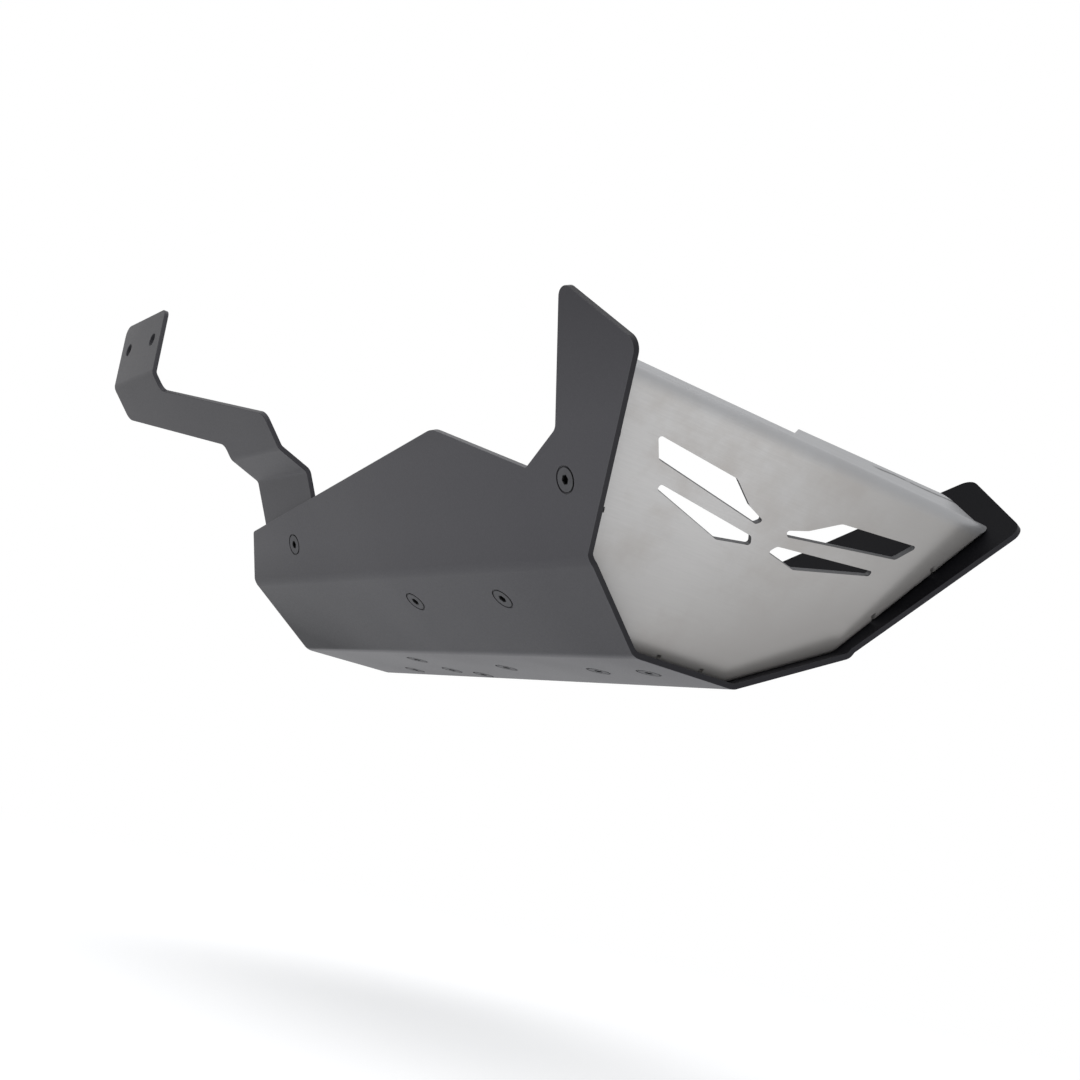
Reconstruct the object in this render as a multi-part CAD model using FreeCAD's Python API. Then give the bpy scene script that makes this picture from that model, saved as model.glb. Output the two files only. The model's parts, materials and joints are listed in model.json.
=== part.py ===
import FreeCAD, Part
import math
import os
from FreeCAD import Placement, Rotation, Vector

# Engine spoiler: a folded belly sheet closed at the front by a bent panel, with its straps and brackets.
# Millimetres. X points forward, Y to the left, Z up. The origin is the middle of the floor's outer face.

# Belly sheet, sizes on the outer face between sharp fold lines
sheet = 3.0
fold_radius = 8.0
floor_length = 350.0
floor_width = 64.0
side_width = 61.0
side_slope = 30.0
wing_flare = 27.0
front_lean = 36.0
rear_lean = 21.5

# Rows of screws along the floor, the first from its front edge and each from the one before it
front_strap_setback = 70.0
strap_pitch = 87.0
sump_setback = 58.0
sump_length = 75.0

# Outline of the wings, as heights up the wing and distances from the floor's front edge
wing_rear_height = 33.0
wing_rear_corner = 3.0
hump_setback = 90.5
hump_height = 72.3
hump_corner = 17.0
notch_setback = 14.0
notch_height = 45.5
notch_corner = 2.5
horn_root_advance = 14.0
horn_root_height = 60.5
horn_root_corner = 6.0
horn_tip_advance = 35.5
horn_tip_height = 123.5
horn_tip_corner = 5.5
horn_front_height = 89.0
horn_front_corner = 6.5

# Left wing where it differs: its horn stands further forward, and one straight edge runs back from its tip
left_horn_front_height = 83.0
left_horn_reach = 9.5
left_horn_tip_advance = 33.7
left_horn_tip_corner = 11.0
left_shoulder_setback = 100.0
left_shoulder_height = 54.0
left_shoulder_corner = 40.0

# Front panel, behind the front edges of the belly sheet
panel_sheet = 3.0
panel_recess = 8.0
panel_bend_radius = 2.5
panel_height = 124.5
panel_flange = 13.0
lip_short_depth = 13.2
lip_long_depth = 24.2
lip_end_depth = 30.8
lip_step = 10.7
lip_step_slant = 9.9
lip_end_inset = 2.5
lip_corner = 6.0
lip_step_corner = 1.3
wing_tab_width = 29.0
floor_tab_width = 25.0
tab_margin = 10.0
tab_corner = 5.0
relief_width = 2.4
relief_reach = 1.0
panel_side_screw_height = 37.5
panel_side_screw_setback = 31.5
panel_floor_screw_setback = 28.5

# Vents of the front panel, as distances from the middle and heights up the panel
upper_vent_outer = 85.0
upper_vent_outer_top = 101.7
upper_vent_outer_bottom = 91.2
upper_vent_outer_slant = 7.7
upper_vent_shoulder = 34.5
upper_vent_shoulder_height = 97.3
upper_vent_waist = 19.3
upper_vent_waist_height = 87.6
upper_vent_tip = 7.6
upper_vent_tip_top = 83.6
upper_vent_tip_bottom = 80.8
lower_vent_outer = 69.2
lower_vent_outer_top = 81.2
lower_vent_outer_bottom = 78.2
lower_vent_tip = 5.6
lower_vent_tip_top = 74.6
lower_vent_tip_bottom = 70.2
lower_vent_heel = 25.2
lower_vent_heel_height = 66.6
vent_corner = 2.8
vent_tip_corner = 1.3

# Cross straps and the sump bracket, inside the belly sheet
strap_sheet = 3.0
strap_width = 30.0
strap_ear_gap = 8.0
strap_ear_height = 24.0
strap_flange_length = 28.0
strap_flange_corner = 9.0
strap_hole_inset = 14.0
side_screw_drop = 20.5
sump_sheet = 3.0
sump_radius = 3.0
sump_margin = 12.0
sump_corner = 6.0
sump_pair_setback = 22.0
sump_pair_spread = 12.8
sump_front_screw_offset = 22.0
sump_rear_screw_offset = 17.0
sump_edge = 7.0
sump_tab_width = 30.0
sump_tab_height = 48.0

# Rear brackets, one inside each wing
bracket_sheet = 3.0
bracket_radius = 4.0
bracket_setback_from_rear = 107.0
bracket_leg_width = 70.0
bracket_leg_start = 6.0
bracket_leg_end = 63.5
bracket_step_length = 22.0
bracket_step_angle = 20.0
bracket_web_angle = 47.5
bracket_web_rise = 14.5
bracket_web_front = 22.0
bracket_web_rear = 10.0
bracket_web_shoulder = 13.0
bracket_arm_offset = 126.0
bracket_arm_width = 74.0
bracket_arm_height = 46.0
bracket_arm_lean = 12.0
bracket_corner = 6.0
bracket_hole_pitch = 45.0
bracket_hole_drop = 20.0
bracket_screw_setback = 28.0
bracket_screw_height = 22.0

# Fasteners and clearances
screw_diameter = 6.0
screw_length = 16.0
head_diameter = 12.0
countersink_diameter = 13.2
countersink_groove = 0.5
socket_across_flats = 4.0
socket_depth = 2.2
screw_end_chamfer = 0.6
washer_diameter = 12.0
washer_hole = 6.4
washer_thickness = 1.6
nut_across_flats = 10.0
nut_height = 4.4
nut_collar_diameter = 8.8
nut_collar_height = 1.6
inner_hole_diameter = 7.5
engine_hole_diameter = 8.5
seat_gap = 0.1
seat_cone_gap = 0.1
thread_gap = 0.1
overcut = 1.0
corner_share = 0.45

# Values that follow from the sizes above
floor_half = floor_width / 2
wing_angle = 90 - wing_flare
wing_turn = wing_angle - side_slope
front_edge = floor_length / 2
rear_edge = -floor_length / 2
fold_height = side_width * math.sin(math.radians(side_slope))
fold_offset = floor_half + side_width * math.cos(math.radians(side_slope))
inner_face = sheet + seat_gap
panel_edge_radius = panel_bend_radius + panel_sheet
inner_fold_radius = fold_radius - seat_gap
strap_radius = inner_fold_radius - strap_sheet
front_strap_x = front_edge - front_strap_setback
rear_strap_x = front_strap_x - strap_pitch
sump_front_x = rear_strap_x - sump_setback
sump_rear_x = sump_front_x - sump_length
bracket_front_x = rear_edge + bracket_setback_from_rear
bracket_rear_x = bracket_front_x - bracket_leg_width
x_axis = Vector(1, 0, 0)
far = 4 * floor_length


def tangent(degrees):
    return math.tan(math.radians(degrees))


def front_x(height):
    """X of the leaning front edge at a height above the floor."""
    return front_edge + height * tangent(front_lean)


def rear_x(height):
    """X of the leaning rear edge at a height above the floor."""
    return rear_edge + height * tangent(rear_lean)


def wing_z(up):
    """Height above the floor of a point this far up the wing."""
    return fold_height + up * math.cos(math.radians(wing_flare))


def rounded_face(corners):
    """Flat face in the XY plane with rounded corners, each given as (x, y, radius)."""
    points = [Vector(x, y, 0) for x, y, radius in corners]
    starts = []
    ends = []
    middles = []
    for index, (x, y, radius) in enumerate(corners):
        corner = points[index]
        back = points[index - 1] - corner
        ahead = points[(index + 1) % len(points)] - corner
        half_turn = (math.pi - back.getAngle(ahead)) / 2
        room = corner_share * min(back.Length, ahead.Length)
        reach = min(radius * math.tan(half_turn), room)
        back.normalize()
        ahead.normalize()
        starts.append(corner + back * reach)
        ends.append(corner + ahead * reach)
        inward = back + ahead
        inward.normalize()
        true_radius = reach / math.tan(half_turn)
        middles.append(corner + inward * (true_radius / math.cos(half_turn) - true_radius))
    edges = []
    for index, (x, y, radius) in enumerate(corners):
        if radius:
            edges.append(Part.Arc(starts[index], middles[index], ends[index]).toShape())
        edges.append(Part.LineSegment(ends[index], starts[(index + 1) % len(points)]).toShape())
    return Part.Face(Part.Wire(edges))


def moved(shape, place):
    result = shape.copy()
    result.Placement = place.multiply(result.Placement)
    return result


def mirrored(shape):
    """The same shape on the other side of the middle plane."""
    return shape.mirror(Vector(0, 0, 0), Vector(0, 1, 0))


def joined(solids):
    return solids[0].fuse(solids[1:]).removeSplitter()


def fold(rear, front, start, turn, thickness, radius):
    """Bend that carries a flat sheet on from the line y = start by the given turn about X."""
    corners = [(rear, 0), (front, 0), (front, thickness), (rear, thickness), (rear, 0)]
    edge = Part.Face(Part.makePolygon([Vector(x, start, z) for x, z in corners]))
    axis_height = radius + thickness if turn > 0 else -radius
    return edge.revolve(Vector(0, start, axis_height), x_axis, turn)


def folded_sheet(place, panels, thickness, radius):
    """Flat panels joined by bends about X. Each panel is (length, outline, turn at its end)."""
    solids = []
    lead = 0.0
    for length, outline, turn in panels:
        bend_face = radius + thickness if turn > 0 else radius
        trail = bend_face * tangent(abs(turn) / 2)
        end = length - trail
        corners = outline(lead, end)
        solids.append(moved(rounded_face(corners).extrude(Vector(0, 0, thickness)), place))
        if turn:
            ends = [x for x, y, corner in corners if y == end]
            solids.append(moved(fold(min(ends), max(ends), end, turn, thickness, radius), place))
        place = place.multiply(Placement(Vector(0, length, 0), Rotation(x_axis, turn)))
        lead = trail
    return solids


def straight(rear, front):
    """Outline of a panel whose two ends are square to its folds."""
    return lambda start, end: [(rear, start, 0), (front, start, 0), (front, end, 0), (rear, end, 0)]


def side_outline(start, end):
    return [(rear_edge, start, 0), (front_edge, start, 0),
            (front_x(fold_height), end, 0), (rear_x(fold_height), end, 0)]


def wing_outline(start, top_corners):
    """Outline of a wing whose top edge has the given corners, from front to rear."""
    return [(rear_x(fold_height), start, 0),
            (front_x(fold_height), start, 0),
            *top_corners,
            (rear_x(wing_z(wing_rear_height)), wing_rear_height, wing_rear_corner)]


def right_wing(start, end):
    return wing_outline(start, [
        (front_x(wing_z(horn_front_height)), horn_front_height, horn_front_corner),
        (front_edge + horn_tip_advance, end, horn_tip_corner),
        (front_edge + horn_root_advance, horn_root_height, horn_root_corner),
        (front_edge - notch_setback, notch_height, notch_corner),
        (front_edge - hump_setback, hump_height, hump_corner)])


def left_wing(start, end):
    horn_front = front_x(wing_z(left_horn_front_height)) + left_horn_reach
    return wing_outline(start, [
        (horn_front, left_horn_front_height, horn_front_corner),
        (front_edge + left_horn_tip_advance, end, left_horn_tip_corner),
        (front_edge - left_shoulder_setback, left_shoulder_height, left_shoulder_corner)])


# Frames on the left side: x runs forward, y up the panel, z inwards from the outer face
floor_frame = Placement(Vector(0, 0, 0), Rotation())
side_frame = Placement(Vector(0, floor_half, 0), Rotation(x_axis, side_slope))
wing_frame = Placement(Vector(0, fold_offset, fold_height), Rotation(x_axis, wing_angle))
# Frame of the front panel: x runs left, y up the panel, z out of its front face
lean = math.radians(front_lean)
panel_normal = Vector(math.cos(lean), 0, -math.sin(lean))
panel_up = Vector(math.sin(lean), 0, math.cos(lean))
panel_frame = Placement(Vector(front_edge, 0, 0) - panel_normal * panel_recess,
                        Rotation(Vector(0, 1, 0), panel_up, panel_normal, "XYZ"))


def seat(frame, x, up):
    """Place of a screw on the outer face of a panel, pointing inwards."""
    return frame.multiply(Placement(Vector(x, up, 0), Rotation()))


def opposite(place):
    """Place of the same screw on the right side."""
    base = place.Base
    inward = place.Rotation.multVec(Vector(0, 0, 1))
    return Placement(Vector(base.x, -base.y, base.z),
                     Rotation(Vector(0, 0, 1), Vector(inward.x, -inward.y, inward.z)))


def both_sides(place):
    return [place, opposite(place)]


# Screw places of each joint
panel_side_seat = seat(wing_frame, front_x(wing_z(panel_side_screw_height)) - panel_side_screw_setback,
                       panel_side_screw_height)
panel_floor_seat = seat(floor_frame, front_edge - panel_floor_screw_setback, 0)
panel_seats = both_sides(panel_side_seat) + [panel_floor_seat]
side_screw_height = side_width - side_screw_drop
front_strap_seats = both_sides(seat(side_frame, front_strap_x, side_screw_height))
front_strap_seats.append(seat(floor_frame, front_strap_x, 0))
rear_strap_seats = both_sides(seat(side_frame, rear_strap_x, side_screw_height))
rear_strap_seats.append(seat(floor_frame, rear_strap_x, 0))
sump_pair_x = sump_front_x - sump_pair_setback
sump_seats = both_sides(seat(floor_frame, sump_pair_x, sump_pair_spread))
sump_seats.append(seat(floor_frame, sump_front_x, sump_front_screw_offset))
sump_seats.append(seat(floor_frame, sump_rear_x, sump_rear_screw_offset))
bracket_seats = both_sides(seat(wing_frame, bracket_front_x - bracket_screw_setback, bracket_screw_height))


def turned(profile):
    """Solid of revolution about Z from a closed (radius, z) profile."""
    points = [Vector(radius, 0, z) for radius, z in profile + profile[:1]]
    return Part.Face(Part.makePolygon(points)).revolve(Vector(0, 0, 0), Vector(0, 0, 1), 360)


def hexagon(across_flats, bottom, height):
    radius = across_flats / math.sqrt(3)
    angles = [math.radians(60 * corner) for corner in range(7)]
    points = [Vector(radius * math.cos(a), radius * math.sin(a), bottom) for a in angles]
    return Part.Face(Part.makePolygon(points)).extrude(Vector(0, 0, height))


def countersink():
    """Cutter for a countersunk hole through the belly sheet, with a shallow groove around the head."""
    rim = countersink_diameter / 2
    seat_rim = head_diameter / 2 + seat_cone_gap
    through = screw_diameter / 2 + seat_cone_gap
    seat_end = seat_rim - through
    bottom = max(sheet, seat_end) + overcut
    return turned([(0, -overcut), (rim, -overcut), (rim, countersink_groove),
                   (seat_rim - countersink_groove, countersink_groove), (through, seat_end),
                   (through, bottom), (0, bottom)])


def round_hole(diameter, bottom, height):
    return Part.makeCylinder(diameter / 2, height, Vector(0, 0, bottom))


def screw():
    """Countersunk screw with a hexagon socket, its head flush with the outer face."""
    shank = screw_diameter / 2
    head = head_diameter / 2
    tip = shank - screw_end_chamfer
    body = turned([(0, 0), (head, 0), (shank, head - shank), (shank, screw_length - screw_end_chamfer),
                   (tip, screw_length), (0, screw_length)])
    return body.cut(hexagon(socket_across_flats, -overcut, socket_depth + overcut))


def washer(level):
    ring = round_hole(washer_diameter, level, washer_thickness)
    return ring.cut(round_hole(washer_hole, level - overcut, washer_thickness + 2 * overcut))


def lock_nut(level):
    """Hexagon nut with a round locking collar on top."""
    collar = round_hole(nut_collar_diameter, level + nut_height, nut_collar_height)
    body = hexagon(nut_across_flats, level, nut_height).fuse(collar).removeSplitter()
    reach = nut_height + nut_collar_height + 2 * overcut
    return body.cut(round_hole(screw_diameter + thread_gap, level - overcut, reach))


def drilled(shape, cutter, places):
    return shape.cut([moved(cutter, place) for place in places])


def inner_drilled(shape, thickness, places):
    """Clear holes for the screws through a piece that lies inside the belly sheet."""
    cutter = round_hole(inner_hole_diameter, sheet - overcut, thickness + 2 * overcut)
    return drilled(shape, cutter, places)


def belly_half(wing):
    """Left half of the belly sheet with the given outline of its wing."""
    panels = [(floor_half, straight(rear_edge, front_edge), side_slope),
              (side_width, side_outline, wing_turn),
              (horn_tip_height, wing, 0)]
    return folded_sheet(floor_frame, panels, sheet, fold_radius)


def belly_shell():
    shell = joined(belly_half(left_wing) + [mirrored(solid) for solid in belly_half(right_wing)])
    seats = panel_seats + front_strap_seats + rear_strap_seats + sump_seats + bracket_seats
    return drilled(shell, countersink(), seats)


def belly_section(depth):
    """Half outline of the space inside the belly sheet, this far in from its outer face."""
    floor_point = Vector(0, floor_half - depth * tangent(side_slope / 2), depth)
    fold_point = side_frame.multVec(Vector(0, side_width - depth * tangent(wing_turn / 2), depth))
    wing_point = wing_frame.multVec(Vector(0, 2 * horn_tip_height, depth))
    return [floor_point, fold_point, wing_point]


def panel_block(inset, radius, depth):
    """Solid that fills the belly behind the front panel's face, with rounded folds and front edges."""
    half = belly_section(inner_face + inset)
    points = half + [Vector(0, -point.y, point.z) for point in reversed(half)]
    section = Part.Face(Part.makePolygon(points + points[:1]))
    filling = moved(section, Placement(Vector(-far, 0, 0), Rotation())).extrude(Vector(2 * far, 0, 0))
    limits = Part.makeBox(2 * far, far + panel_height - inset, depth, Vector(-far, -far, -inset - depth))
    block = moved(filling, panel_frame.inverse()).common(limits)
    front = block.BoundBox.ZMax
    folds = [edge for edge in block.Edges if is_fold(edge, front, panel_height - inset)]
    block = block.makeFillet(inner_fold_radius - inset, folds)
    rim = [edge for edge in block.Edges if edge.BoundBox.ZMin > front - overcut]
    return moved(block.makeFillet(radius, rim), panel_frame)


def is_fold(edge, front, top):
    """Whether an edge of the unplaced panel block runs back from its front face below its top face."""
    box = edge.BoundBox
    return box.ZMax > front - overcut and box.ZLength > overcut and box.YMin < top - overcut


def panel_slab(bottom, top, front, back):
    """Everything between two heights and two depths of the front panel."""
    return moved(Part.makeBox(2 * far, top - bottom, back - front, Vector(-far, bottom, -back)), panel_frame)


def lip_outline():
    """Outline of the top lip seen from above: shallow on the right, deeper and deepening on the left."""
    end = lip_end()
    return [(-far, overcut, 0), (far, overcut, 0), (far, -panel_edge_radius, 0),
            (end, -panel_edge_radius, 0),
            (end, -lip_end_depth, lip_corner),
            (lip_step_slant - lip_step, -lip_long_depth, lip_step_corner),
            (-lip_step, -lip_short_depth, lip_step_corner),
            (-end, -lip_short_depth, lip_corner),
            (-end, -panel_edge_radius, 0),
            (-far, -panel_edge_radius, 0)]


def lip_end():
    """Distance from the middle to where the top lip ends, clear of the wing."""
    top = panel_frame.multVec(Vector(0, panel_height, 0)).z
    up = (top - fold_height) / math.cos(math.radians(wing_flare))
    return wing_frame.multVec(Vector(0, up, inner_face)).y - panel_edge_radius - lip_end_inset


def panel_tab(frame, place, width, front):
    """Region of a fixing tab on the inside of the belly sheet, around a screw."""
    base = frame.inverse().multVec(place.Base)
    rear = base.x - tab_margin
    start = base.y - width / 2
    end = base.y + width / 2
    corners = [(rear, start, tab_corner), (front, start, 0), (front, end, 0), (rear, end, tab_corner)]
    thickness = panel_sheet + seat_gap + 2 * overcut
    return moved(rounded_face(corners).extrude(Vector(0, 0, thickness)),
                 frame.multiply(Placement(Vector(0, 0, sheet - overcut), Rotation())))


def reliefs(frame, front, middle, width):
    """Narrow slots on both sides of a fixing tab, from the back of the flange through the bend."""
    turn = panel_normal.getAngle(frame.Rotation.multVec(Vector(0, 0, -1)))
    reach = (panel_edge_radius * math.tan(turn / 2) + relief_reach) * math.sin(turn)
    length = (panel_flange + panel_recess) / math.cos(lean) + 2 * panel_edge_radius
    slots = []
    for side in (-1, 1):
        start = middle + side * (width + relief_width) / 2 - relief_width / 2
        box = Part.makeBox(length, relief_width, reach + overcut,
                           Vector(front(start) - length, start, inner_face - overcut))
        slots.append(moved(box, frame))
    return slots


def upper_vent():
    slanted = upper_vent_outer - upper_vent_outer_slant
    return [(upper_vent_tip, upper_vent_tip_top, vent_tip_corner),
            (upper_vent_tip + vent_corner, upper_vent_tip_bottom, vent_tip_corner),
            (slanted, upper_vent_outer_bottom, vent_corner),
            (upper_vent_outer, upper_vent_outer_top, vent_tip_corner),
            (upper_vent_shoulder, upper_vent_shoulder_height, 2 * vent_corner),
            (upper_vent_waist, upper_vent_waist_height, vent_corner)]


def lower_vent():
    return [(lower_vent_tip, lower_vent_tip_bottom, vent_tip_corner),
            (lower_vent_heel, lower_vent_heel_height, vent_corner),
            (lower_vent_outer, lower_vent_outer_bottom, vent_tip_corner),
            (lower_vent_outer, lower_vent_outer_top, vent_tip_corner),
            (lower_vent_tip + vent_corner, lower_vent_tip_top, vent_corner)]


def front_panel():
    outer = panel_block(0, panel_edge_radius, far)
    inner = panel_block(panel_sheet, panel_bend_radius, far)
    tray = outer.cut(inner)
    side_up = panel_side_screw_height
    bend_back = (panel_recess + panel_edge_radius) / math.cos(lean) - panel_edge_radius
    wing_tab = panel_tab(wing_frame, panel_side_seat, wing_tab_width, front_x(wing_z(side_up)) - bend_back)
    floor_tab = panel_tab(floor_frame, panel_floor_seat, floor_tab_width, front_edge - bend_back)
    lip_frame = panel_frame.multiply(Placement(Vector(0, panel_height + overcut, 0), Rotation(x_axis, 90)))
    lip = moved(rounded_face(lip_outline()).extrude(Vector(0, 0, panel_sheet + 2 * overcut)), lip_frame)
    below_lip = panel_height - panel_edge_radius - relief_width
    kept = joined([panel_slab(-far, panel_height + overcut, -overcut, panel_edge_radius),
                   panel_slab(-far, below_lip, -overcut, panel_flange),
                   wing_tab, mirrored(wing_tab), floor_tab, lip])
    panel = tray.common(kept)
    cutters = reliefs(floor_frame, lambda up: front_edge, 0, floor_tab_width)
    side_cutters = reliefs(wing_frame, lambda up: front_x(wing_z(up)), side_up, wing_tab_width)
    behind_face = panel_frame.multiply(Placement(Vector(0, 0, -panel_sheet - overcut), Rotation()))
    for outline in (upper_vent(), lower_vent()):
        vent = rounded_face(outline).extrude(Vector(0, 0, panel_sheet + 2 * overcut))
        side_cutters.append(moved(vent, behind_face))
    cutters += side_cutters + [mirrored(cutter) for cutter in side_cutters]
    return inner_drilled(panel.cut(cutters), panel_sheet + seat_gap, panel_seats)


def strap(x, seats):
    """Cross strap on the floor and both sides, whose ears fold in to flanges for the engine bolts."""
    rear = x - strap_width / 2
    front = x + strap_width / 2
    start = Placement(Vector(0, 0, inner_face), Rotation())
    floor_reach = floor_half - inner_face * tangent(side_slope / 2)
    side_reach = side_width - inner_face * (tangent(side_slope / 2) + tangent(wing_turn / 2)) - strap_ear_gap
    ear_offset = floor_reach + side_reach * math.cos(math.radians(side_slope))
    flange_top = inner_face + side_reach * math.sin(math.radians(side_slope)) + strap_ear_height

    def flange_outline(low, high):
        return [(rear, low, 0), (front, low, 0), (front, high, strap_flange_corner),
                (rear, high, strap_flange_corner)]

    panels = [(floor_reach, straight(rear, front), side_slope),
              (side_reach, straight(rear, front), 90 - side_slope),
              (strap_ear_height, straight(rear, front), 90),
              (strap_flange_length, flange_outline, 0)]
    half = folded_sheet(start, panels, strap_sheet, strap_radius)
    hole = round_hole(engine_hole_diameter, flange_top - strap_sheet - overcut, strap_sheet + 2 * overcut)
    hole.translate(Vector(x, ear_offset - strap_hole_inset, 0))
    body = joined(half + [mirrored(solid) for solid in half]).cut([hole, mirrored(hole)])
    return inner_drilled(body, strap_sheet + seat_gap, seats)


def sump_bracket():
    """Foot plate on the floor with a tab that stands up behind the pair of screws."""
    front = sump_front_x + sump_margin
    rear = sump_rear_x - sump_margin
    left = sump_front_screw_offset + sump_edge
    right = -sump_pair_spread - sump_margin
    narrow = sump_rear_screw_offset - sump_margin
    tab_x = sump_pair_x - sump_margin - sump_sheet
    foot = rounded_face([(rear, left, sump_corner), (rear, narrow, sump_corner), (tab_x, narrow, sump_corner),
                         (tab_x, right, 0), (front, right, sump_corner), (front, left, sump_corner)])
    foot = moved(foot.extrude(Vector(0, 0, sump_sheet)), Placement(Vector(0, 0, inner_face), Rotation()))
    tab_middle = right + sump_tab_width / 2
    tab = rounded_face([(right, 0, 0), (right + sump_tab_width, 0, 0),
                        (right + sump_tab_width, sump_tab_height, sump_tab_width / 2),
                        (right, sump_tab_height, sump_tab_width / 2)])
    tab = tab.extrude(Vector(0, 0, sump_sheet))
    upright = Rotation(Vector(0, 1, 0), Vector(0, 0, 1), x_axis, "XYZ")
    tab = moved(tab, Placement(Vector(tab_x, 0, inner_face), upright))
    corner_line = Part.makeBox(sump_radius, sump_tab_width, sump_radius,
                               Vector(tab_x + sump_sheet, right, inner_face + sump_sheet))
    round_part = Part.makeCylinder(sump_radius, sump_tab_width,
                                   Vector(tab_x + sump_sheet + sump_radius, right,
                                          inner_face + sump_sheet + sump_radius), Vector(0, 1, 0))
    body = joined([foot, tab, corner_line.cut(round_part)])
    hole = Part.makeCylinder(engine_hole_diameter / 2, sump_sheet + 2 * overcut,
                             Vector(tab_x - overcut, tab_middle,
                                    inner_face + sump_tab_height - sump_tab_width / 2), x_axis)
    return inner_drilled(body.cut(hole), sump_sheet + seat_gap, sump_seats)


def rear_bracket():
    """Left rear bracket: leg inside the wing, outward step, rising web and upright arm."""
    arm_front = bracket_front_x - bracket_arm_offset
    arm_rear = arm_front - bracket_arm_width
    rise = tangent(bracket_web_rise)
    web_at_arm = bracket_web_front + bracket_arm_offset * rise
    web_at_rear = bracket_web_rear + (bracket_rear_x - arm_rear) * rise
    web_length = web_at_arm + bracket_web_shoulder

    def leg_outline(low, high):
        return [(bracket_rear_x, low, bracket_corner), (bracket_front_x, low, bracket_corner),
                (bracket_front_x, high, 0), (bracket_rear_x, high, 0)]

    def web_outline(low, high):
        return [(bracket_rear_x, low, 0), (bracket_front_x, low, 0),
                (bracket_front_x, bracket_web_front, bracket_corner),
                (arm_front, web_at_arm, bracket_corner),
                (arm_front, high, 0), (arm_rear, high, 0),
                (arm_rear, web_at_rear, bracket_corner),
                (bracket_rear_x, bracket_web_rear, bracket_corner)]

    def arm_outline(low, high):
        back = (high - low) * tangent(bracket_arm_lean)
        return [(arm_rear, low, 0), (arm_front, low, 0), (arm_front - back, high, bracket_corner),
                (arm_rear - back, high, bracket_corner)]

    start = wing_frame.multiply(Placement(Vector(0, bracket_leg_start, inner_face), Rotation()))
    panels = [(bracket_leg_end - bracket_leg_start, leg_outline, bracket_step_angle - wing_angle),
              (bracket_step_length, straight(bracket_rear_x, bracket_front_x),
               bracket_web_angle - bracket_step_angle),
              (web_length, web_outline, 90 - bracket_web_angle),
              (bracket_arm_height, arm_outline, 0)]
    body = joined(folded_sheet(start, panels, bracket_sheet, bracket_radius))
    box = body.BoundBox
    arm_lead = (bracket_radius + bracket_sheet) * tangent((90 - bracket_web_angle) / 2)
    hole_rise = bracket_arm_height - bracket_hole_drop - arm_lead
    middle = (arm_front + arm_rear) / 2 - hole_rise * tangent(bracket_arm_lean)
    holes = []
    for side in (-1, 1):
        start = Vector(middle + side * bracket_hole_pitch / 2, 0, box.ZMax - bracket_hole_drop)
        holes.append(Part.makeCylinder(engine_hole_diameter / 2, box.YMax + overcut, start, Vector(0, 1, 0)))
    return inner_drilled(body.cut(holes), bracket_sheet + seat_gap, bracket_seats[:1])


def save(name, shape):
    shape.exportStep("parts/" + name + ".step")


def save_fasteners(name, places, thickness):
    """Screws, washers and nuts of one joint, each kind in a file of its own."""
    level = inner_face + thickness
    kinds = {"screws": screw(), "washers": washer(level), "lock_nuts": lock_nut(level + washer_thickness)}
    for kind, solid in kinds.items():
        save(name + "_" + kind, Part.makeCompound([moved(solid, place) for place in places]))


os.makedirs("parts", exist_ok=True)
save("belly_shell", belly_shell())
save("front_panel", front_panel())
save("front_strap", strap(front_strap_x, front_strap_seats))
save("rear_strap", strap(rear_strap_x, rear_strap_seats))
save("sump_bracket", sump_bracket())
left_bracket = rear_bracket()
save("rear_bracket_left", left_bracket)
save("rear_bracket_right", mirrored(left_bracket))
save_fasteners("front_panel", panel_seats, panel_sheet)
save_fasteners("front_strap", front_strap_seats, strap_sheet)
save_fasteners("rear_strap", rear_strap_seats, strap_sheet)
save_fasteners("sump_bracket", sump_seats, sump_sheet)
save_fasteners("rear_bracket", bracket_seats, bracket_sheet)
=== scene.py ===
import json
import math

import bpy
from mathutils import Matrix, Vector

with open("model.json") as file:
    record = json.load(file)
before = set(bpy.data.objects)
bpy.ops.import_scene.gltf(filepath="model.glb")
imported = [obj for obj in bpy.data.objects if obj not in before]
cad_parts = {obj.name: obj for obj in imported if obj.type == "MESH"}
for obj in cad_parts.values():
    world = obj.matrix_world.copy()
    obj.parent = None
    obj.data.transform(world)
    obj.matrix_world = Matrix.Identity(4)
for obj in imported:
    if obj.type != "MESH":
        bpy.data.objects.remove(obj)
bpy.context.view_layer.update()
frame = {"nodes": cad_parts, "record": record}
nodes = frame["nodes"]
scene = bpy.context.scene

# Camera, from the lines of the folded sheet in the picture
CAMERA_PLACE = (0.7200, -0.4507, -0.0979)
CAMERA_RIGHT = (0.5675, 0.7955, 0.2125)
CAMERA_UP = (0.0499, -0.2908, 0.9555)
CAMERA_BACK = (0.8219, -0.5316, -0.2047)
CAMERA_LENS = 49.12
CAMERA_SENSOR = 36.0
CAMERA_NEAR = 0.01

# Studio: white background, pale light from all round, and a floor that fades to white away from the part
WHITE = (1.0, 1.0, 1.0)
WHITE_STRENGTH = 1.0
SKY_COLOUR = (0.95, 0.97, 1.0)
SKY_STRENGTH = 0.55
FLOOR_LEVEL = -0.20
FLOOR_REACH = 9.0
FLOOR_PAPER = (0.86, 0.86, 0.86)
FLOOR_GLOW = 0.35
FLOOR_FADE = (0.45, 1.5)

# Rounding of edges
WELD_DISTANCE = 0.000004
FLAT_ANGLE = math.radians(0.4)
ROUNDED_ANGLE = math.radians(40.0)
ROUNDING_SEGMENTS = 2
EDGE_ROUNDING = 0.00045
FASTENER_ROUNDING = 0.00012
FASTENER_SLOTS = ("dark_screws", "zinc_plate")

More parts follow.
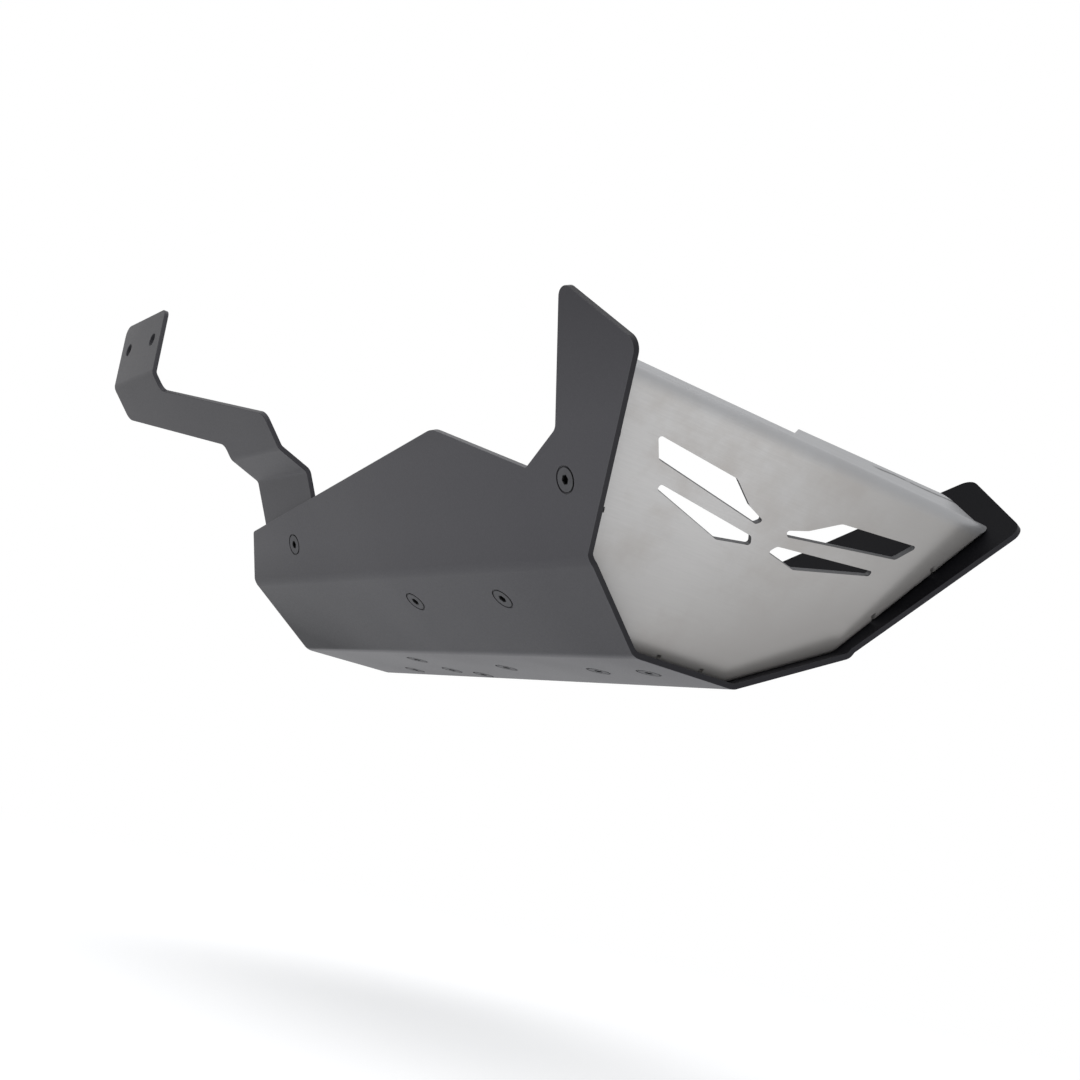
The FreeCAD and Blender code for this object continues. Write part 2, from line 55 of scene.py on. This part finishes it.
# Values that materials share: a span runs from where a mask is nought to where it is full
OPAQUE = 1.0
CLOUD_SPAN = (0.35, 0.65)
EDGE_SPAN = (0.995, 0.86)
EDGE_SAMPLES = 6
HOLLOW_SPAN = (0.85, 0.45)
HOLLOW_SAMPLES = 8
GRAIN_DEPTH = 0.00003

# Powder coat: tones, patterns, a painted edge highlight, and painted shade on the faces of the belly sheet
# that lie in shade
COAT_SPECKLE_AND_HIGHLIGHT = (0.060, 0.060, 0.063)
COAT_PAINTED_SHADE = (0.0052, 0.0052, 0.0062)
COAT_TINT = (0.93, 0.915, 1.0)
COAT_CLOUD_SCALE = 9.0
COAT_PEEL_SCALE = 900.0
COAT_PEEL_STRENGTH = 0.16
COAT_PEEL_DEPTH = 0.00012
COAT_PEEL_SHARE = 0.6
COAT_GRAIN_SCALE = 4200.0
COAT_GRAIN_STRENGTH = 0.10
COAT_SATIN_SPAN = (0.5, 1.1)
SPECKLE_SPAN = (0.62, 0.72)
SPECKLE_SHARE = 0.35
EDGE_HIGHLIGHT_WIDTH = 0.0007
SCUFF_SCALE = 160.0
SCUFF_SPAN = (0.38, 0.68)
SCUFF_SHARES = (0.25, 0.9)
GLOSS_HEIGHTS = (0.085, 0.185)
SHADE_GLOSS = 0.08
SHADE_ROUGHNESS = 0.12
BELLY_AXIS_HEIGHT = 0.12
INSIDE_SPAN = (0.15, 0.45)
INSIDE_HEIGHTS = (0.015, 0.06)
INNER_FLOOR_SHADE = 0.30
FORWARD_SPAN = (0.35, 0.60)
FORWARD_SHADE = 0.6

# Painted shade on the low rear of the sides, as less gloss, and a painted sheen of more gloss on the
# underside of the floor
OFF_FLOOR_SPAN = (-0.97, -0.92)
SIDE_SHADE_LENGTHS = (0.0, -0.17)
SIDE_SHADE_FRONT_SHARE = 0.2
SIDE_SHADE_HEIGHTS = (0.05, 0.0)
SIDE_SHADE_SPAN = (0.0, 0.8)
SIDE_SHADE_GLOSS = 0.2
FLOOR_SHEEN_GLOSS = 1.15

# Front panel: its lean, and where its face, foot, vents and lip lie along its own axes
PANEL_LEAN = math.radians(36.0)
FLOOR_FRONT = 0.175
PANEL_INSET = 0.008
PANEL_FACE = FLOOR_FRONT * math.cos(PANEL_LEAN) - PANEL_INSET
PANEL_FOOT = FLOOR_FRONT * math.sin(PANEL_LEAN)
PANEL_SHEET = 0.003
VENT_SIDE_SPAN = (0.092, 0.088)
VENT_TOP_SPAN = (0.110, 0.106)
VENT_FOOT_SPAN = (0.055, 0.060)
VENT_WALL_SPAN = (0.75, 0.35)
LIP_LEVEL = 0.1225
LIP_TONE_RISE = 0.005
LIP_TONE_SHARE = 0.7
LIP_MARK_DEPTHS = (0.0205, 0.0243)
LIP_MARK_ENDS = (0.052, 0.116)
LIP_MARK_WIDTH = 0.0010
LIP_MARK_BLUR = 0.0007
LIP_MARK_FADE_IN = 0.9
LIP_MARK_FADE_OUT = 0.98
LIP_WAVER = 0.0009
LIP_WAVER_SCALE = 40.0
LIP_WAVER_SPAN = (0.3, 0.7)
LIP_BREAK_SCALE = 130.0
LIP_BREAK_SPAN = (0.36, 0.46)
LIP_BREAK_SHARE = 0.45
SOFT_STEP = 0.001

# Front panel: brushed finish, with painted shade on its foot, left side and lip top
PANEL_DARK = (0.425, 0.417, 0.411)
PANEL_LIGHT = (0.490, 0.482, 0.474)
PANEL_STAIN = (0.352, 0.325, 0.301)
PANEL_CLOUD = (0.440, 0.436, 0.436)
PANEL_PAINTED_SHADE = (0.285, 0.275, 0.266)
PANEL_LIP_SHADE = (0.305, 0.311, 0.324)
PANEL_MARK = (0.028, 0.028, 0.030)
PANEL_CUT = (0.085, 0.085, 0.088)
PANEL_TINT = (0.62, 0.63, 0.65)
PANEL_METALLIC = 0.42
PANEL_ANISOTROPY = 0.6
PANEL_ROUGHNESS = (0.30, 0.37)
PANEL_CUT_ROUGHNESS = 0.15
PANEL_SHEEN_SPAN = (0.45, 0.9)
PANEL_SHEEN_STAINS = 0.3
BRUSH_SQUEEZE = 0.03
BRUSH_FINE_SCALE = 4200.0
BRUSH_FINE_SHARE = 0.5
BRUSH_COARSE_SCALE = 1100.0
BRUSH_COARSE_SHARE = 0.5
BRUSH_SPAN = (0.3, 0.7)
BRUSH_STRENGTH = 0.05
STAIN_SCALE = 20.0
STAIN_SPAN = (0.47, 0.66)
STAIN_SHARE = 0.7
PANEL_CLOUD_SCALE = 7.0
PANEL_CLOUD_SPAN = (0.4, 0.7)
PANEL_CLOUD_SHARE = 0.25
FOOT_SHADE_SPAN = (0.075, 0.010)
FOOT_SHADE_SHARE = 0.60
LEFT_SHADE_SPAN = (-0.03, 0.07)
LEFT_SHADE_SHARE = 0.80

# Screws, washers and nuts
FASTENER_CLOUD_SCALE = 220.0
FASTENER_GRAIN_SCALE = 3600.0
FASTENER_GRAIN_STRENGTH = 0.12
FASTENER_GRAIN_SHARE = 0.5
FASTENER_SATIN_SPAN = (0.5, 1.0)
SCREW_DARK = (0.058, 0.058, 0.062)
SCREW_LIGHT = (0.072, 0.072, 0.077)
SCREW_ROUGHNESS = (0.50, 0.60)
SCREW_GLOSS = 0.12
SCREW_RIM_SHADE = (0.002, 0.002, 0.002)
SCREW_RIM_WIDTH = 0.0007
SCREW_RIM_GLOSS = 0.02
SCREW_SOCKET_REACH = 0.004
ZINC_DARK = (0.50, 0.50, 0.49)
ZINC_LIGHT = (0.66, 0.66, 0.63)
ZINC_RUBBED = (1.0, 1.0, 1.0)
ZINC_RUBBED_EDGE = 0.0004
ZINC_RUBBED_SHARE = 0.6
ZINC_ROUGHNESS = (0.24, 0.38)


class Nodes:
    """Short way to write the node tree of a material or a world."""

    def __init__(self, owner):
        owner.use_nodes = True
        self.owner = owner
        self.tree = owner.node_tree

    def feed(self, socket, value):
        """Links an output to a socket, or sets the socket to a number, a vector or a colour."""
        if isinstance(value, bpy.types.NodeSocket):
            self.tree.links.new(value, socket)
        elif socket.type == "RGBA":
            socket.default_value = (*value, OPAQUE)
        else:
            socket.default_value = value

    def set(self, node, inputs):
        """Feeds a node's sockets, which go by name or by number."""
        for key, value in inputs.items():
            self.feed(node.inputs[key], value)

    def add(self, kind, inputs=None, **settings):
        """New node with its settings and with what its sockets are fed."""
        node = self.tree.nodes.new(kind)
        for key, value in settings.items():
            setattr(node, key, value)
        self.set(node, inputs or {})
        return node

    def position(self, scale=(1, 1, 1), turn=(0, 0, 0), offset=(0, 0, 0)):
        """Point of the object in metres, scaled, turned and moved."""
        point = self.add("ShaderNodeTexCoord").outputs["Object"]
        inputs = {"Vector": point, "Scale": scale, "Rotation": turn, "Location": offset}
        return self.add("ShaderNodeMapping", inputs).outputs["Vector"]

    def normal(self):
        """Direction that the surface faces."""
        return self.add("ShaderNodeNewGeometry").outputs["Normal"]

    def split(self, vector):
        """X, Y and Z of a vector."""
        node = self.add("ShaderNodeSeparateXYZ", {0: vector})
        return node.outputs["X"], node.outputs["Y"], node.outputs["Z"]

    def noise(self, vector, scale, detail=2.0, roughness=0.5):
        inputs = {"Vector": vector, "Scale": scale, "Detail": detail, "Roughness": roughness}
        return self.add("ShaderNodeTexNoise", inputs).outputs["Fac"]

    def range(self, value, start, end, to_start, to_end, curve="LINEAR"):
        """Goes from to_start to to_end while the value goes from start to end, and no further."""
        inputs = {"Value": value, "From Min": start, "From Max": end, "To Min": to_start, "To Max": to_end}
        return self.add("ShaderNodeMapRange", inputs, interpolation_type=curve).outputs["Result"]

    def mask(self, value, span, share=1.0):
        """Goes from nought to the share while the value goes through the span."""
        return self.range(value, *span, 0.0, share)

    def math(self, operation, first, second=0.0):
        return self.add("ShaderNodeMath", {0: first, 1: second}, operation=operation).outputs["Value"]

    def product(self, first, *others):
        for other in others:
            first = self.math("MULTIPLY", first, other)
        return first

    def plus(self, first, second, share):
        """The first value and a share of the second one."""
        return self.math("ADD", first, self.math("MULTIPLY", second, share))

    def dot(self, first, second):
        node = self.add("ShaderNodeVectorMath", {0: first, 1: second}, operation="DOT_PRODUCT")
        return node.outputs["Value"]

    def mix(self, factor, first, second):
        """Colour between two colours, whose sockets share their names with others and so go by number."""
        node = self.add("ShaderNodeMix", {"Factor": factor, 6: first, 7: second}, data_type="RGBA")
        return node.outputs[2]

    def bump(self, height, strength, distance, under=None):
        """Normal with a fine relief, on top of another relief where one is given."""
        inputs = {"Height": height, "Strength": strength, "Distance": distance}
        if under is not None:
            inputs["Normal"] = under
        return self.add("ShaderNodeBump", inputs).outputs["Normal"]

    def edges(self, radius):
        """Mask that is one along edges and nought on open faces."""
        soft = self.add("ShaderNodeBevel", {"Radius": radius}, samples=EDGE_SAMPLES)
        return self.mask(self.dot(soft.outputs["Normal"], self.normal()), EDGE_SPAN)

    def hollow(self, reach):
        """Mask that is one in narrow hollows and nought on open faces."""
        light = self.add("ShaderNodeAmbientOcclusion", {"Distance": reach},
                         samples=HOLLOW_SAMPLES, only_local=True)
        return self.mask(light.outputs["AO"], HOLLOW_SPAN)

    def finish(self, inputs):
        """Feeds the material's shader and gives back the material."""
        self.set(self.tree.nodes["Principled BSDF"], inputs)
        return self.owner


def new_material(name):
    return Nodes(bpy.data.materials.new(name))


def painted_shade_faces(n, height):
    """Mask of painted shade on the belly sheet: the inside, darkest high up, and cut edges that face
    forward.
    """
    normal = n.normal()
    to_axis = n.position(scale=(0, -1, -1), offset=(0, 0, BELLY_AXIS_HEIGHT))
    inward = n.add("ShaderNodeVectorMath", {0: to_axis}, operation="NORMALIZE").outputs["Vector"]
    inside = n.mask(n.dot(inward, normal), INSIDE_SPAN)
    inside = n.product(inside, n.range(height, *INSIDE_HEIGHTS, INNER_FLOOR_SHADE, 1.0))
    forward = n.mask(n.split(normal)[0], FORWARD_SPAN, FORWARD_SHADE)
    return n.math("MAXIMUM", inside, forward)


def painted_shade_and_sheen(n, point):
    """Share of gloss left by painted shade on the low rear of the sides; the floor gets a painted sheen of
    more gloss.
    """
    along, _, height = n.split(point)
    off_floor = n.mask(n.split(n.normal())[2], OFF_FLOOR_SPAN)
    rear = n.range(along, *SIDE_SHADE_LENGTHS, SIDE_SHADE_FRONT_SHARE, 1.0)
    side_shade = n.product(off_floor, rear, n.mask(height, SIDE_SHADE_HEIGHTS))
    floor_sheen = n.range(off_floor, 0.0, 1.0, FLOOR_SHEEN_GLOSS, 1.0)
    return n.product(floor_sheen, n.range(side_shade, *SIDE_SHADE_SPAN, 1.0, SIDE_SHADE_GLOSS))


def powder_coat(name, dark, light, roughness, shaded, gloss):
    """Satin powder coat: fine orange peel, faint clouding, painted edge highlight broken up like wear, and
    painted shade on shaded faces.

    Roughness goes from the smooth to the rough end of its pair, and gloss from low down to the top, its drop
    towards the top being painted shade.
    """
    n = new_material(name)
    point = n.position()
    height = n.split(point)[2]
    clouds = n.noise(point, COAT_CLOUD_SCALE, detail=3.0)
    peel = n.noise(point, COAT_PEEL_SCALE)
    grain = n.noise(point, COAT_GRAIN_SCALE, detail=1.0)
    scuffs = n.noise(point, SCUFF_SCALE, detail=4.0, roughness=0.7)
    # Painted highlight: a lighter line along the edges, broken up by scuff noise like wear
    rubbed = n.product(n.edges(EDGE_HIGHLIGHT_WIDTH), n.range(scuffs, *SCUFF_SPAN, *SCUFF_SHARES))
    shade = n.product(painted_shade_faces(n, height), shaded)

    colour = n.mix(n.mask(clouds, CLOUD_SPAN), dark, light)
    colour = n.mix(n.mask(grain, SPECKLE_SPAN, SPECKLE_SHARE), colour, COAT_SPECKLE_AND_HIGHLIGHT)
    colour = n.mix(rubbed, colour, COAT_SPECKLE_AND_HIGHLIGHT)
    # Painted shade: the inside faces and the forward cut edges are darkened
    colour = n.mix(shade, colour, COAT_PAINTED_SHADE)
    satin = n.range(n.plus(clouds, peel, COAT_PEEL_SHARE), *COAT_SATIN_SPAN, *roughness)
    # Painted shade through gloss: less gloss high up, on the low rear of the sides and on shaded faces;
    # painted sheen of more gloss on the floor
    gloss_left = n.product(n.range(height, *GLOSS_HEIGHTS, *gloss), painted_shade_and_sheen(n, point),
                           n.range(shade, 0.0, 1.0, 1.0, SHADE_GLOSS))
    relief = n.bump(peel, COAT_PEEL_STRENGTH, COAT_PEEL_DEPTH)
    relief = n.bump(grain, COAT_GRAIN_STRENGTH, GRAIN_DEPTH, under=relief)
    # Plain gloss first, for an export that drops the linked one
    n.finish({"Specular IOR Level": gloss[0]})
    return n.finish({"Base Color": colour, "Roughness": n.plus(satin, shade, SHADE_ROUGHNESS),
                     "Normal": relief, "Specular IOR Level": gloss_left, "Specular Tint": COAT_TINT,
                     "Metallic": 0.0})


def lip_mark(n, point, depth, across, upward):
    """Mask of a thin dark line along the top lip, wavering and broken."""
    start, end = LIP_MARK_ENDS
    waver = n.range(n.noise(point, LIP_WAVER_SCALE), *LIP_WAVER_SPAN, -LIP_WAVER, LIP_WAVER)
    middle = n.range(across, start, end, *LIP_MARK_DEPTHS)
    gap = n.math("ABSOLUTE", n.math("SUBTRACT", n.math("ADD", depth, waver), middle))
    line = n.mask(gap, (LIP_MARK_WIDTH + LIP_MARK_BLUR, LIP_MARK_WIDTH))
    fade_in = n.mask(across, (LIP_MARK_FADE_IN * start, start))
    fade_out = n.mask(across, (end, LIP_MARK_FADE_OUT * end))
    on_lip = n.mask(upward, (LIP_LEVEL, LIP_LEVEL + SOFT_STEP))
    broken = n.range(n.noise(point, LIP_BREAK_SCALE), *LIP_BREAK_SPAN, LIP_BREAK_SHARE, 1.0)
    return n.product(line, fade_in, fade_out, on_lip, broken)


def vent_walls(n, depth, across, upward):
    """Mask of the cut faces inside the vents: square to the panel's face and within its thickness."""
    outward = (math.cos(PANEL_LEAN), 0.0, -math.sin(PANEL_LEAN))
    square = n.mask(n.math("ABSOLUTE", n.dot(n.normal(), outward)), VENT_WALL_SPAN)
    in_sheet = n.mask(depth, (PANEL_SHEET + SOFT_STEP, PANEL_SHEET))
    clear_of_sides = n.mask(n.math("ABSOLUTE", across), VENT_SIDE_SPAN)
    clear_of_top = n.mask(upward, VENT_TOP_SPAN)
    clear_of_foot = n.mask(upward, VENT_FOOT_SPAN)
    return n.product(square, in_sheet, clear_of_sides, clear_of_top, clear_of_foot)


def brushed_aluminium(name):
    """Brushed sheet: fine grain, warm stains, painted shade on foot, left side and lip top, dark vent walls,
    dark lip line.
    """
    n = new_material(name)
    point = n.position()
    outward, across, height = n.split(n.position(turn=(0.0, -PANEL_LEAN, 0.0)))
    depth = n.math("SUBTRACT", PANEL_FACE, outward)
    upward = n.math("SUBTRACT", height, PANEL_FOOT)
    brushed = n.position(scale=(1.0, BRUSH_SQUEEZE, 1.0), turn=(0.0, PANEL_LEAN, 0.0))
    fine = n.noise(brushed, BRUSH_FINE_SCALE, detail=3.0, roughness=0.6)
    coarse = n.noise(brushed, BRUSH_COARSE_SCALE)
    stains = n.noise(point, STAIN_SCALE, detail=5.0, roughness=0.62)
    clouds = n.noise(point, PANEL_CLOUD_SCALE)
    # Painted shade: darker towards the foot and towards the left side
    foot_and_left_shade = n.math("ADD", n.mask(upward, FOOT_SHADE_SPAN, FOOT_SHADE_SHARE),
                  n.mask(across, LEFT_SHADE_SPAN, LEFT_SHADE_SHARE))
    # Painted shade: the top of the lip is darker and bluer than the face
    lip = n.mask(upward, (LIP_LEVEL - LIP_TONE_RISE, LIP_LEVEL), LIP_TONE_SHARE)
    walls = vent_walls(n, depth, across, upward)

    grain = n.plus(n.product(fine, BRUSH_FINE_SHARE), coarse, BRUSH_COARSE_SHARE)
    colour = n.mix(n.mask(grain, BRUSH_SPAN), PANEL_DARK, PANEL_LIGHT)
    colour = n.mix(n.mask(stains, STAIN_SPAN, STAIN_SHARE), colour, PANEL_STAIN)
    colour = n.mix(n.mask(clouds, PANEL_CLOUD_SPAN, PANEL_CLOUD_SHARE), colour, PANEL_CLOUD)
    colour = n.mix(foot_and_left_shade, colour, PANEL_PAINTED_SHADE)
    colour = n.mix(lip, colour, PANEL_LIP_SHADE)
    colour = n.mix(lip_mark(n, point, depth, across, upward), colour, PANEL_MARK)
    colour = n.mix(walls, colour, PANEL_CUT)
    sheen = n.range(n.plus(coarse, stains, PANEL_SHEEN_STAINS), *PANEL_SHEEN_SPAN, *PANEL_ROUGHNESS)
    around = n.add("ShaderNodeTangent", direction_type="RADIAL", axis="Y")
    return n.finish({"Base Color": colour, "Roughness": n.plus(sheen, walls, PANEL_CUT_ROUGHNESS),
                     "Normal": n.bump(fine, BRUSH_STRENGTH, GRAIN_DEPTH), "Specular Tint": PANEL_TINT,
                     "Metallic": PANEL_METALLIC, "Anisotropic": PANEL_ANISOTROPY,
                     "Tangent": around.outputs["Tangent"]})


def fastener_surface(n, dark, light, roughness):
    """Colour, roughness and normal of a small turned piece: faint clouds and fine grain."""
    point = n.position()
    clouds = n.noise(point, FASTENER_CLOUD_SCALE, detail=3.0)
    grain = n.noise(point, FASTENER_GRAIN_SCALE)
    colour = n.mix(n.mask(clouds, CLOUD_SPAN), dark, light)
    satin = n.range(n.plus(clouds, grain, FASTENER_GRAIN_SHARE), *FASTENER_SATIN_SPAN, *roughness)
    return colour, satin, n.bump(grain, FASTENER_GRAIN_STRENGTH, GRAIN_DEPTH)


def black_screw(name):
    """Blackened screw: satin head, with painted shade as a dark rim where it sits in the countersink and in
    its socket.
    """
    n = new_material(name)
    colour, satin, normal = fastener_surface(n, SCREW_DARK, SCREW_LIGHT, SCREW_ROUGHNESS)
    # Painted shade: a dark, less glossy rim along the head's edge and in the socket
    dark = n.math("MAXIMUM", n.edges(SCREW_RIM_WIDTH), n.hollow(SCREW_SOCKET_REACH))
    # Plain gloss first, for an export that drops the linked one
    n.finish({"Specular IOR Level": SCREW_GLOSS})
    return n.finish({"Base Color": n.mix(dark, colour, SCREW_RIM_SHADE), "Roughness": satin, "Normal": normal,
                     "Specular IOR Level": n.range(dark, 0.0, 1.0, SCREW_GLOSS, SCREW_RIM_GLOSS),
                     "Metallic": 0.0})


def bright_zinc(name):
    """Bright plated nut or washer: faint cloudy plating, fine grain and rubbed corners."""
    n = new_material(name)
    colour, satin, normal = fastener_surface(n, ZINC_DARK, ZINC_LIGHT, ZINC_ROUGHNESS)
    rubbed = n.product(n.edges(ZINC_RUBBED_EDGE), ZINC_RUBBED_SHARE)
    return n.finish({"Base Color": n.mix(rubbed, colour, ZINC_RUBBED), "Roughness": satin, "Normal": normal,
                     "Metallic": 1.0})


materials = {
    "shell_coat": powder_coat("shell_powder_coat", dark=(0.0130, 0.0128, 0.0152),
                              light=(0.0165, 0.0162, 0.0188), roughness=(0.42, 0.52),
                              shaded=1.0, gloss=(0.56, 0.15)),
    "bracket_coat": powder_coat("bracket_powder_coat", dark=(0.0135, 0.0133, 0.0155),
                                light=(0.0170, 0.0167, 0.0190), roughness=(0.40, 0.50),
                                shaded=0.1, gloss=(0.44, 0.38)),
    "brushed_panel": brushed_aluminium("brushed_aluminium"),
    "dark_screws": black_screw("blackened_screws"),
    "zinc_plate": bright_zinc("bright_zinc"),
}


def dress(node, material, rounding_width, flatten):
    """Gives a node its material and small rounded edges, and joins its flat faces first where asked."""
    piece = nodes[node]
    piece.data.materials.clear()
    piece.data.materials.append(material)
    weld = piece.modifiers.new("weld", "WELD")
    weld.merge_threshold = WELD_DISTANCE
    if flatten:
        flat = piece.modifiers.new("flat_faces", "DECIMATE")
        flat.decimate_type = "DISSOLVE"
        flat.angle_limit = FLAT_ANGLE
    rounding = piece.modifiers.new("edge_rounding", "BEVEL")
    rounding.width = rounding_width
    rounding.segments = ROUNDING_SEGMENTS
    rounding.limit_method = "ANGLE"
    rounding.angle_limit = ROUNDED_ANGLE
    rounding.use_clamp_overlap = True
    rounding.miter_outer = "MITER_ARC"
    shading = piece.modifiers.new("shading", "WEIGHTED_NORMAL")
    shading.keep_sharp = False


for part in frame["record"]["subparts"]:
    slot = part["material_slot"]
    if slot in FASTENER_SLOTS:
        dress(part["node"], materials[slot], FASTENER_ROUNDING, flatten=False)
    else:
        dress(part["node"], materials[slot], EDGE_ROUNDING, flatten=True)


def area_light(name, place, target, size, power):
    """Soft rectangular lamp that faces the target."""
    lamp = bpy.data.lights.new(name, "AREA")
    lamp.shape = "RECTANGLE"
    lamp.size, lamp.size_y = size
    lamp.energy = power
    light = bpy.data.objects.new(name, lamp)
    scene.collection.objects.link(light)
    light.location = place
    light.rotation_mode = "QUATERNION"
    light.rotation_quaternion = (Vector(target) - Vector(place)).to_track_quat("-Z", "Y")


area_light("top_softbox", place=(0.1, -0.2, 1.9), target=(0.0, 0.0, 0.0), size=(2.4, 2.4), power=18.0)
area_light("front_softbox", place=(1.9, -0.3, 0.9), target=(0.1, 0.0, 0.05), size=(1.6, 1.6), power=7.0)
area_light("side_softbox", place=(0.2, -2.0, 0.7), target=(0.0, 0.0, 0.05), size=(1.8, 1.4), power=7.0)


def studio_world():
    """World that is plain white to the camera and in reflections, and the sky to all else."""
    world = bpy.data.worlds.new("studio")
    n = Nodes(world)
    sky = n.tree.nodes["Background"]
    n.set(sky, {"Color": SKY_COLOUR, "Strength": SKY_STRENGTH})
    white = n.add("ShaderNodeBackground", {"Color": WHITE, "Strength": WHITE_STRENGTH})
    path = n.add("ShaderNodeLightPath")
    seen = n.math("MAXIMUM", path.outputs["Is Camera Ray"], path.outputs["Is Glossy Ray"])
    seen = n.math("MAXIMUM", seen, path.outputs["Is Transmission Ray"])
    whole = n.add("ShaderNodeMixShader", {0: seen, 1: sky.outputs[0], 2: white.outputs[0]})
    n.set(n.tree.nodes["World Output"], {"Surface": whole.outputs[0]})
    return world


def floor_paper():
    """Pale paper that takes the shadow near the part and fades to plain white further out."""
    n = new_material("pale_floor")
    paper = n.add("ShaderNodeBsdfDiffuse", {"Color": FLOOR_PAPER})
    glow = n.add("ShaderNodeEmission", {"Color": WHITE, "Strength": FLOOR_GLOW})
    near = n.add("ShaderNodeAddShader", {0: paper.outputs[0], 1: glow.outputs[0]})
    far = n.add("ShaderNodeEmission", {"Color": WHITE, "Strength": WHITE_STRENGTH})
    distance = n.add("ShaderNodeVectorMath", {0: n.position()}, operation="LENGTH")
    fade = n.range(distance.outputs["Value"], *FLOOR_FADE, 0.0, 1.0, curve="SMOOTHSTEP")
    whole = n.add("ShaderNodeMixShader", {0: fade, 1: near.outputs[0], 2: far.outputs[0]})
    n.set(n.tree.nodes["Material Output"], {"Surface": whole.outputs[0]})
    return n.owner


def studio_floor():
    mesh = bpy.data.meshes.new("floor")
    square = ((-1, -1), (1, -1), (1, 1), (-1, 1))
    mesh.from_pydata([(FLOOR_REACH * x, FLOOR_REACH * y, 0.0) for x, y in square], [], [(0, 1, 2, 3)])
    mesh.materials.append(floor_paper())
    plane = bpy.data.objects.new("floor", mesh)
    plane.location.z = FLOOR_LEVEL
    scene.collection.objects.link(plane)
    return plane


def picture_camera():
    """Camera at the picture's viewing angle."""
    lens = bpy.data.cameras.new("camera")
    lens.sensor_width = CAMERA_SENSOR
    lens.lens = CAMERA_LENS
    lens.clip_start = CAMERA_NEAR
    viewer = bpy.data.objects.new("camera", lens)
    scene.collection.objects.link(viewer)
    axes = Matrix((CAMERA_RIGHT, CAMERA_UP, CAMERA_BACK)).transposed()
    viewer.matrix_world = Matrix.Translation(CAMERA_PLACE) @ axes.to_4x4()
    return viewer


scene.world = studio_world()
floor = studio_floor()
scene.camera = picture_camera()
scene.view_settings.view_transform = "Standard"
